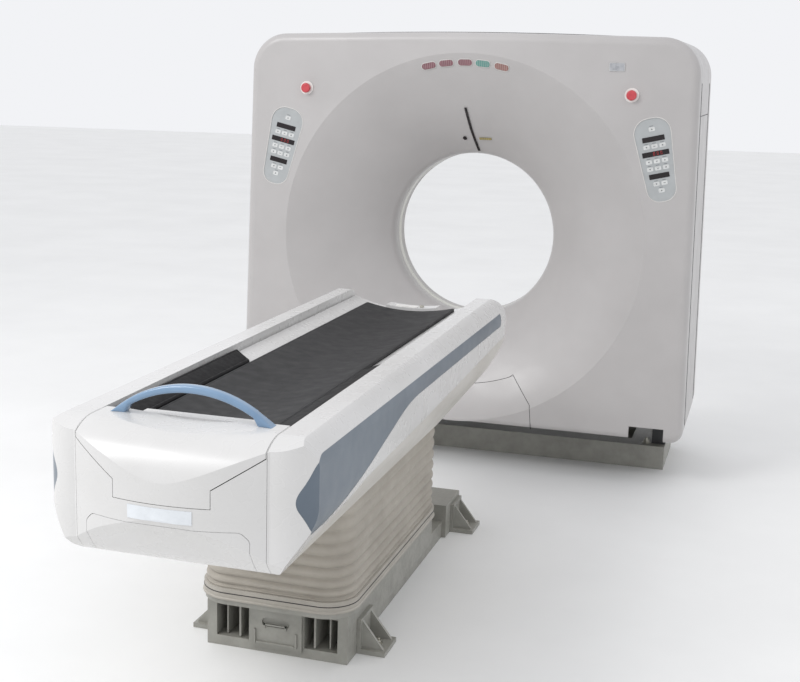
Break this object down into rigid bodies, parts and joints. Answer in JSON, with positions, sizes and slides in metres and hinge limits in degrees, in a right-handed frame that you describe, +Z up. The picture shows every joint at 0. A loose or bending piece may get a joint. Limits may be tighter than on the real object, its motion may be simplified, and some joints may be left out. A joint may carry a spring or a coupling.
{
  "type": "ct scanner",
  "caption": "Medical CT scanner: a tilting gantry with a wide flared round bore, and a lifting patient table with a sliding curved cradle.",
  "frame": {"origin": "on the floor, at the middle of the bounding box seen from above", "axes": "+Z up; +Y along the patient axis, from the foot of the table into the gantry bore; +X across, to the right seen from the foot of the table"},
  "size_m": [1.929, 3.5515, 1.812],
  "materials": {
    "cover_white": "satin",
    "liner_plastic": "matt",
    "window_film": "satin",
    "panel_grey": "matt",
    "display_black": "gloss",
    "collar_white": "satin",
    "button_red": "satin",
    "lamp_red": "gloss",
    "lamp_green": "gloss",
    "lamp_amber": "gloss",
    "badge_metal": "brushed",
    "frame_grey": "satin",
    "inner_dark": "satin",
    "machined_steel": "machined",
    "slip_brass": "satin",
    "housing_grey": "satin",
    "belt_rubber": "matt",
    "table_white": "gloss",
    "inlay_blue": "satin",
    "shell_ivory": "satin",
    "bellows_rubber": "matt",
    "mat_vinyl": "matt",
    "pad_black": "satin",
    "runner_steel": "machined",
    "handle_blue": "gloss"
  },
  "bodies": {
    "base": {"gantry_base_frame": "frame_grey", "stanchion_left": "inner_dark", "stanchion_right": "inner_dark", "table_base_frame": "frame_grey", "base_front_plate": "frame_grey", "floor_brackets_front": "frame_grey", "floor_brackets_rear": "frame_grey", "lift_column_outer": "machined_steel", "bellows_collar": "shell_ivory"},
    "gantry": {"front_cover": "cover_white", "front_access_panel": "cover_white", "rear_cover": "cover_white", "top_cover": "cover_white", "side_cover_right": "cover_white", "side_cover_left": "cover_white", "bore_liner": "liner_plastic", "scan_window": "window_film", "control_panel_left": "panel_grey", "control_panel_right": "panel_grey", "panel_displays": "display_black", "panel_keys": "panel_grey", "stop_collars": "collar_white", "lamp_standby": "lamp_red", "lamp_ready": "lamp_green", "lamp_exposure": "lamp_amber", "laser_windows": "display_black", "amber_lens": "lamp_amber", "badge_plate": "badge_metal", "tilt_frame": "inner_dark", "drive_motor": "housing_grey", "drive_belt": "belt_rubber"},
    "rotor": {"rotor_ring": "machined_steel", "slip_ring": "slip_brass", "xray_tube": "housing_grey", "collimator": "housing_grey", "detector_arc": "housing_grey", "rotor_power_boxes": "housing_grey"},
    "pulley": {"motor_pulley": "machined_steel"},
    "stop_right": {"stop_button_right": "button_red"},
    "stop_left": {"stop_button_left": "button_red"},
    "table": {"side_rail_right": "table_white", "side_rail_left": "table_white", "side_inlay_right": "inlay_blue", "side_inlay_left": "inlay_blue", "lower_shell": "shell_ivory", "foot_lower_panel": "table_white", "foot_cover": "table_white", "foot_plate": "table_white", "chassis": "inner_dark", "lift_column_inner": "machined_steel", "bellows": "bellows_rubber"},
    "cradle": {"cradle_shell": "table_white", "mattress": "mat_vinyl", "edge_pads": "pad_black", "cradle_carriage": "runner_steel", "nose_housing": "table_white", "nose_ledge": "table_white", "push_handle": "handle_blue", "headrest_socket": "table_white"}
  },
  "joints": [
    {"name": "gantry_tilt", "type": "hinge", "parent": "base", "child": "gantry", "pos_m": [0, 1.39, 0.965], "axis": [1, 0, 0], "range_deg": [-20, 20]},
    {"name": "rotor_spin", "type": "hinge", "parent": "gantry", "child": "rotor", "pos_m": [0, 1.39, 0.965], "axis": [0, 1, 0], "continuous": true},
    {"name": "pulley_spin", "type": "hinge", "parent": "gantry", "child": "pulley", "pos_m": [0.64, 1.39, 0.325], "axis": [0, 1, 0], "continuous": true},
    {"name": "stop_press_right", "type": "slide", "parent": "gantry", "child": "stop_right", "axis": [0, 1, 0], "range_m": [0, 0.006], "stiffness_N_per_m": 800, "springref_m": -0.004},
    {"name": "stop_press_left", "type": "slide", "parent": "gantry", "child": "stop_left", "axis": [0, 1, 0], "range_m": [0, 0.006], "stiffness_N_per_m": 800, "springref_m": -0.004},
    {"name": "table_lift", "type": "slide", "parent": "base", "child": "table", "axis": [0, 0, 1], "range_m": [-0.2, 0.1], "deforming": ["bellows"]},
    {"name": "cradle_slide", "type": "slide", "parent": "table", "child": "cradle", "axis": [0, 1, 0], "range_m": [0, 1.45]}
  ],
  "couplings": [
    {"joint": "pulley_spin", "follows": "rotor_spin", "ratio": 13}
  ]
}
